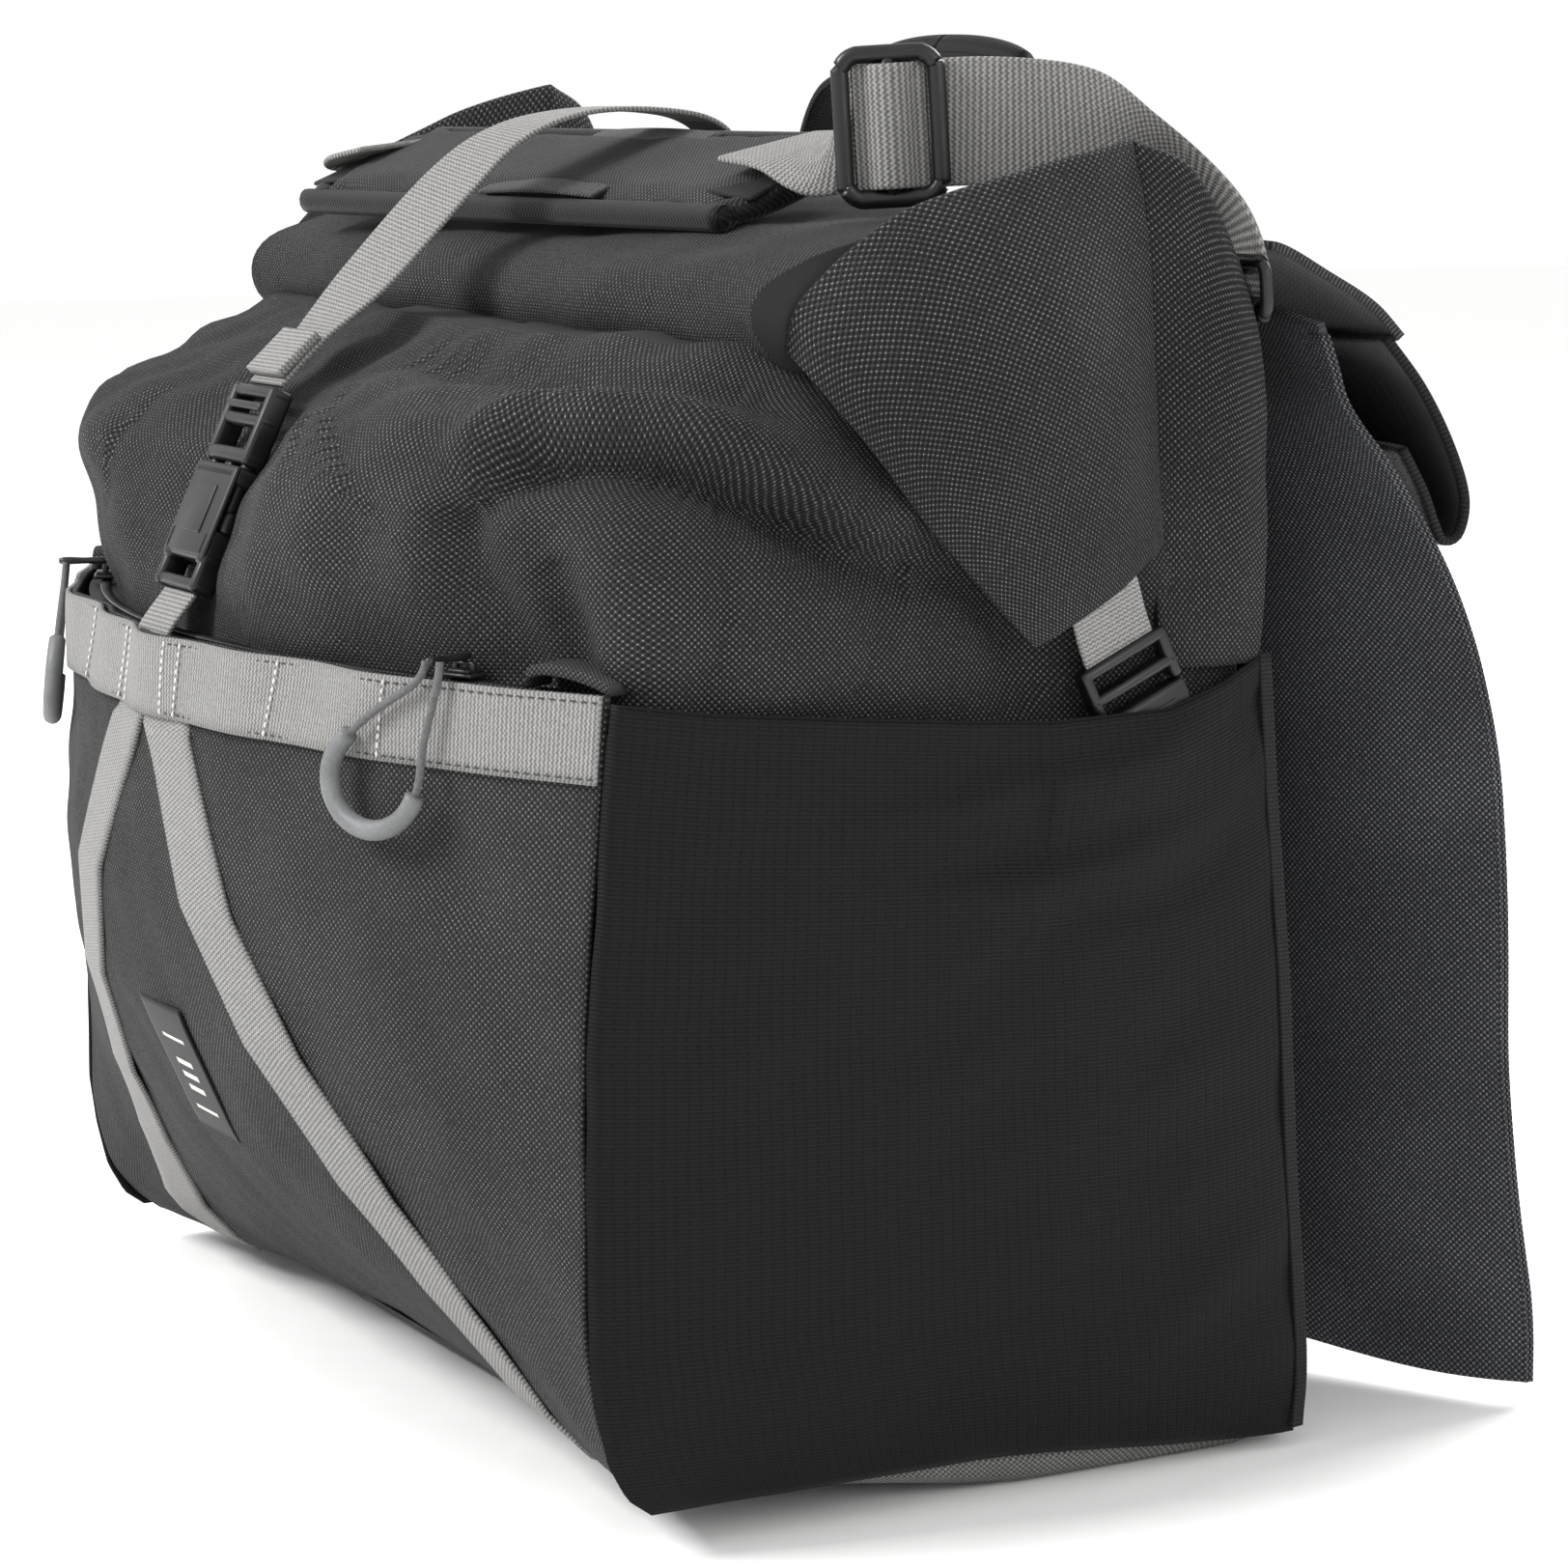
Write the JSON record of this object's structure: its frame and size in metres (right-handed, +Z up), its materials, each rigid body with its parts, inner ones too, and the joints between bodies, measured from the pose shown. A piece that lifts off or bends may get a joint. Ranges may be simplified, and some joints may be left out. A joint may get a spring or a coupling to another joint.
{
  "type": "roll-top luggage bag",
  "caption": "Roll-top luggage bag with a bulged zipped front pocket, stretch side pockets, closure strap with side-release buckle, shoulder strap and rear flap.",
  "frame": {"origin": "middle of the underside of the base panel", "axes": "+X across the bag's width, -Y out of the front pocket, +Z up"},
  "size_m": [0.4388, 0.3886, 0.4301],
  "materials": {
    "acetal": "moulded acetal, fine matte",
    "base_fabric": "basket-weave polyester, light grey",
    "black_webbing": "ribbed binding tape, black",
    "board": "polyethylene stiffener sheet",
    "flap_fabric": "basket-weave polyester, inner face lighter",
    "grip_rubber": "moulded grey rubber",
    "label": null,
    "light_webbing": "ribbed nylon webbing, light grey",
    "lining_fabric": "thin coated waterproof lining",
    "main_fabric": "coarse basket-weave coated polyester, dark grey",
    "mesh": "stretch knit mesh, black",
    "pad_fabric": "padded twill",
    "pull_cord": "braided cord, grey",
    "thread": "bonded polyester thread",
    "zip_parts": "coated zip slider and coil"
  },
  "bodies": {
    "bag": {"back_board": "board", "back_edge_binding_left": "black_webbing", "back_edge_binding_right": "black_webbing", "back_panel": "black_webbing", "band_bar_tacks": "thread", "base_board": "board", "base_panel": "base_fabric", "buckle_anchor_strap": "light_webbing", "closure_strap": "light_webbing", "corner_tab_left": "black_webbing", "corner_tab_right": "black_webbing", "diagonal_strap_left": "light_webbing", "diagonal_strap_right": "light_webbing", "ear_left": "main_fabric", "ear_right": "main_fabric", "ear_webbing_left": "light_webbing", "ear_webbing_right": "light_webbing", "front_buckle_socket": "acetal", "front_pocket_panel": "main_fabric", "main_shell": "main_fabric", "mesh_pocket_left": "mesh", "mesh_pocket_right": "mesh", "mouth_webbing": "light_webbing", "ring_tab_left": "light_webbing", "ring_tab_right": "light_webbing", "roll_stiffeners": "board", "roll_top": "main_fabric", "shoulder_pad": "pad_fabric", "sling_webbing_left": "light_webbing", "sling_webbing_right": "light_webbing", "strap_ring_left": "acetal", "strap_ring_right": "acetal", "waterproof_lining": "lining_fabric", "woven_label": "label", "zip_coil": "zip_parts", "zip_end_tab_left": "pad_fabric", "zip_end_tab_right": "pad_fabric", "zip_tape": "black_webbing"},
    "front_plug": {"closure_strap_lower": "light_webbing", "front_buckle_plug": "acetal", "strap_end_tab": "light_webbing"},
    "end_frame_left": {"end_buckle_left": "acetal"},
    "end_frame_right": {"end_buckle_right": "acetal"},
    "flap": {"flap_hems": "flap_fabric", "flap_yoke": "flap_fabric", "rear_flap": "flap_fabric", "yoke_facing": "black_webbing"},
    "handle": {"handle_grip": "black_webbing", "handle_web_left": "black_webbing", "handle_web_right": "black_webbing"},
    "pull_left": {"pull_cord_left": "pull_cord", "pull_grip_left": "grip_rubber"},
    "pull_right": {"pull_cord_right": "pull_cord", "pull_grip_right": "grip_rubber"},
    "slider_left": {"pull_rod_left": "zip_parts", "zip_slider_left": "zip_parts"},
    "slider_right": {"pull_rod_right": "zip_parts", "zip_slider_right": "zip_parts"},
    "strap_slide_body": {"slide_loop": "light_webbing", "strap_slide": "acetal"}
  },
  "joints": [
    {"name": "flap_lift", "type": "hinge", "parent": "bag", "child": "flap", "pos_m": [0, 0.101, 0.371], "axis": [1, 0, 0], "range_deg": [0, 70]},
    {"name": "handle_fold", "type": "hinge", "parent": "flap", "child": "handle", "pos_m": [0, 0.12, 0.3832], "axis": [1, 0, 0], "range_deg": [-50, 0]},
    {"name": "front_buckle_release", "type": "slide", "parent": "bag", "child": "front_plug", "axis": [0, 0.4202, 0.9074], "range_m": [0, 0.025]},
    {"name": "zip_right", "type": "hinge", "parent": "bag", "child": "slider_right", "pos_m": [0, 0.23713, 0.25], "axis": [0, 0, 1], "range_deg": [-18.5, 2.5]},
    {"name": "zip_left", "type": "hinge", "parent": "bag", "child": "slider_left", "pos_m": [0, 0.23713, 0.25], "axis": [0, 0, 1], "range_deg": [-2.5, 18.5]},
    {"name": "pull_right_swing", "type": "hinge", "parent": "slider_right", "child": "pull_right", "pos_m": [0.15303, -0.14058, 0.2561], "axis": [-0.9268, -0.3755, 0], "range_deg": [0, 80]},
    {"name": "pull_left_swing", "type": "hinge", "parent": "slider_left", "child": "pull_left", "pos_m": [-0.15303, -0.14058, 0.2561], "axis": [-0.9268, 0.3755, 0], "range_deg": [0, 80]},
    {"name": "end_buckle_right_tilt", "type": "hinge", "parent": "bag", "child": "end_frame_right", "pos_m": [0.20916, 0.05518, 0.25189], "axis": [0, 0.9074, 0.4202], "range_deg": [-3, 3]},
    {"name": "end_buckle_left_tilt", "type": "hinge", "parent": "bag", "child": "end_frame_left", "pos_m": [-0.20916, 0.05518, 0.25189], "axis": [0, 0.9074, 0.4202], "range_deg": [-3, 3]},
    {"name": "strap_slide_travel", "type": "slide", "parent": "bag", "child": "strap_slide_body", "axis": [0.5004, 0.8637, 0.06], "range_m": [-0.008, 0.025]}
  ]
}
